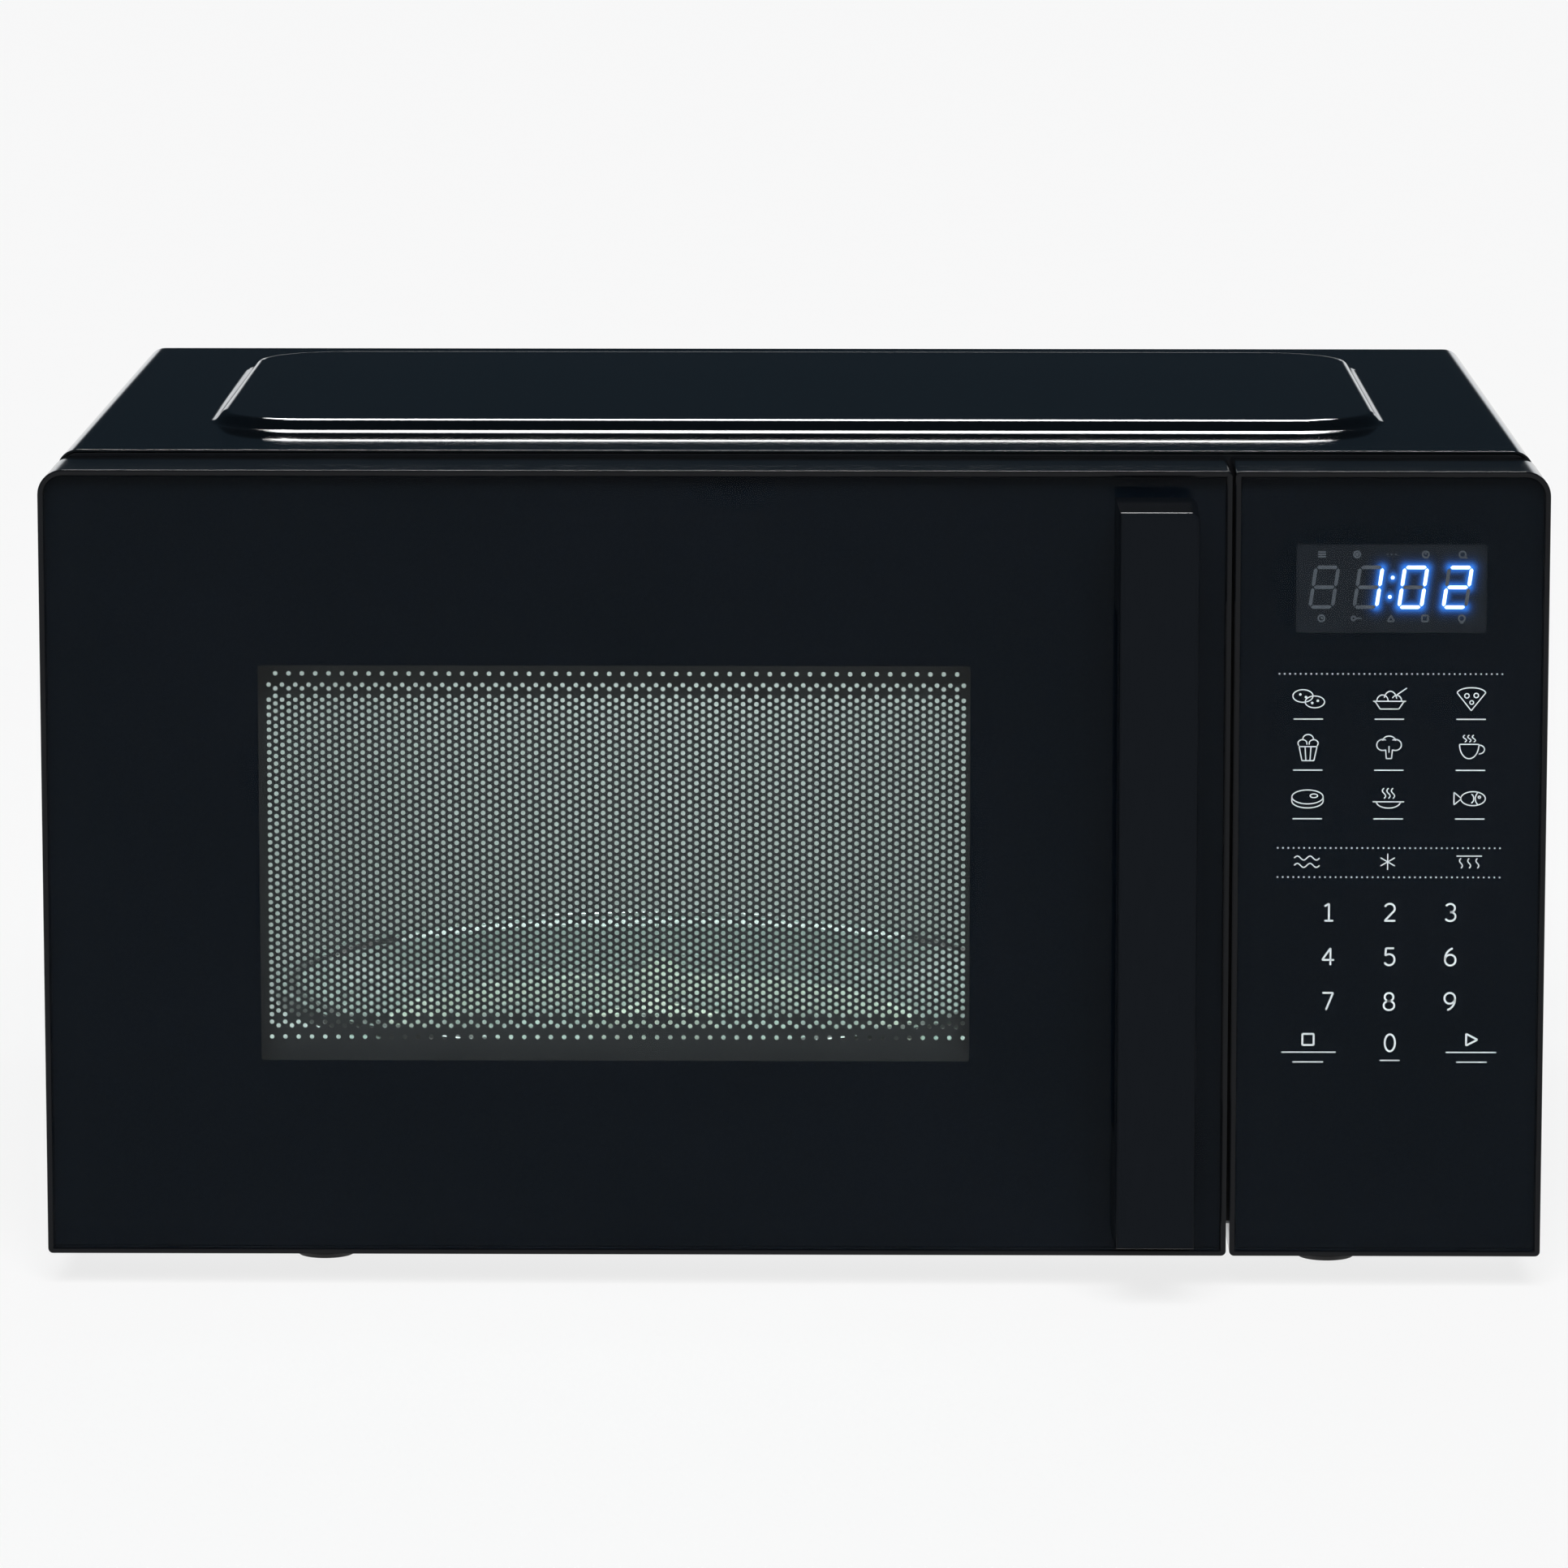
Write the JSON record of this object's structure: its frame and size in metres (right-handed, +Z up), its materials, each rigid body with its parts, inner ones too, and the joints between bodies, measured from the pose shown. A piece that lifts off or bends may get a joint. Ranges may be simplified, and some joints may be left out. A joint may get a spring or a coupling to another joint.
{
  "type": "microwave oven",
  "caption": "Countertop microwave oven with grill: black cover with a raised top, side-hinged glass door with a bar handle, touch panel with clock, turntable and working parts.",
  "frame": {"origin": "centre of the bounding box at the worktop, under the feet", "axes": "+X to the right seen from the front, -Y out of the door, +Z up"},
  "size_m": [0.452, 0.384, 0.2545],
  "materials": {
    "cover_paint": "satin, fine texture",
    "plated_steel": "zinc plated",
    "cavity_paint": "satin",
    "black_gloss": "gloss",
    "black_satin": "satin",
    "handle_satin": "satin",
    "door_pane": "polished",
    "panel_pane": "polished, printed black behind",
    "screen_paint": "matte",
    "clear_sheet": "clear",
    "tray_glass": "clear",
    "ivory_plastic": "satin",
    "grey_plastic": "satin",
    "dark_plastic": "satin",
    "green_board": "satin",
    "display_face": "gloss, lit",
    "screw_steel": "plated",
    "spring_steel": "plain",
    "foot_rubber": "matte",
    "core_steel": "varnished",
    "copper_wire": "enamelled",
    "can_aluminium": "satin",
    "fin_aluminium": "bright",
    "ferrite": "matte",
    "mica": "matte",
    "quartz": "satin",
    "bulb_glass": "clear",
    "reflector_steel": "bright"
  },
  "bodies": {
    "cabinet": {"outer_cover": "cover_paint", "rear_panel": "plated_steel", "base_plate": "plated_steel", "feet": "foot_rubber", "front_frame": "cavity_paint", "cavity_shell": "cavity_paint", "cavity_roof": "cavity_paint", "cavity_floor": "cavity_paint", "turntable_motor": "plated_steel", "waveguide": "plated_steel", "waveguide_cover": "mica", "magnetron_yoke": "plated_steel", "magnetron_magnets": "ferrite", "magnetron_tube": "fin_aluminium", "magnetron_filter_box": "plated_steel", "transformer_core": "core_steel", "transformer_windings": "copper_wire", "hv_capacitor": "can_aluminium", "capacitor_clamp": "plated_steel", "hv_diode": "dark_plastic", "fan_shroud": "grey_plastic", "fan_motor": "core_steel", "fan_motor_coil": "copper_wire", "air_duct": "grey_plastic", "lamp_holder": "ivory_plastic", "lamp_bulb": "bulb_glass", "grill_reflector": "reflector_steel", "grill_heaters": "quartz", "latch_board": "ivory_plastic", "door_switches": "dark_plastic", "thermal_cutouts": "dark_plastic", "filter_board": "green_board", "cord_gland": "black_satin", "cover_screws": "screw_steel", "control_housing": "black_gloss", "control_glass": "panel_pane", "display_module": "display_face", "control_board": "green_board", "hinge_lower": "plated_steel", "hinge_upper": "plated_steel"},
    "door": {"door_frame": "black_gloss", "door_glass": "door_pane", "door_choke_panel": "screen_paint", "door_screen": "screen_paint", "door_inner_window": "clear_sheet", "choke_cover": "black_satin", "door_handle": "handle_satin", "handle_screws": "screw_steel"},
    "latch": {"latch_hooks": "ivory_plastic", "latch_spring": "spring_steel"},
    "drive": {"drive_shaft": "plated_steel", "drive_coupler": "ivory_plastic"},
    "tray": {"turntable_glass": "tray_glass"},
    "ring": {"roller_ring": "ivory_plastic"},
    "wheel_1": {"roller_1": "ivory_plastic"},
    "wheel_2": {"roller_2": "ivory_plastic"},
    "wheel_3": {"roller_3": "ivory_plastic"},
    "fan": {"fan_blade": "grey_plastic", "fan_rotor": "fin_aluminium"},
    "plungers": {"switch_plungers": "ivory_plastic"}
  },
  "joints": [
    {"name": "door_swing", "type": "hinge", "parent": "cabinet", "child": "door", "pos_m": [-0.2175, -0.135, 0.13], "axis": [0, 0, -1], "range_deg": [0, 110]},
    {"name": "latch_lift", "type": "slide", "parent": "door", "child": "latch", "axis": [0, 0, 1], "range_m": [0, 0.004], "stiffness_N_per_m": 300, "springref_m": -0.006, "deforming": ["latch_spring"]},
    {"name": "plunger_press", "type": "slide", "parent": "cabinet", "child": "plungers", "axis": [0, 0, 1], "range_m": [0, 0.0012]},
    {"name": "turntable_spin", "type": "hinge", "parent": "cabinet", "child": "drive", "pos_m": [-0.0475, 0.0258, 0.04], "axis": [0, 0, 1], "continuous": true},
    {"name": "tray_lift", "type": "slide", "parent": "drive", "child": "tray", "axis": [0, 0, 1], "range_m": [0, 0.04]},
    {"name": "ring_spin", "type": "hinge", "parent": "cabinet", "child": "ring", "pos_m": [-0.0475, 0.0258, 0.0408], "axis": [0, 0, 1], "continuous": true},
    {"name": "wheel_1_spin", "type": "hinge", "parent": "ring", "child": "wheel_1", "pos_m": [-0.0475, 0.1178, 0.0408], "axis": [0, 1, 0], "continuous": true},
    {"name": "wheel_2_spin", "type": "hinge", "parent": "ring", "child": "wheel_2", "pos_m": [-0.12717, -0.0202, 0.0408], "axis": [-0.866, -0.5, 0], "continuous": true},
    {"name": "wheel_3_spin", "type": "hinge", "parent": "ring", "child": "wheel_3", "pos_m": [0.03217, -0.0202, 0.0408], "axis": [0.866, -0.5, 0], "continuous": true},
    {"name": "fan_spin", "type": "hinge", "parent": "cabinet", "child": "fan", "pos_m": [0.167, 0.14, 0.15], "axis": [0, 1, 0], "continuous": true}
  ],
  "couplings": [
    {"joint": "ring_spin", "follows": "turntable_spin", "ratio": 0.5},
    {"joint": "wheel_1_spin", "follows": "turntable_spin", "ratio": -6.0526},
    {"joint": "wheel_2_spin", "follows": "turntable_spin", "ratio": -6.0526},
    {"joint": "wheel_3_spin", "follows": "turntable_spin", "ratio": -6.0526},
    {"joint": "plunger_press", "follows": "latch_lift", "ratio": 0.3}
  ]
}
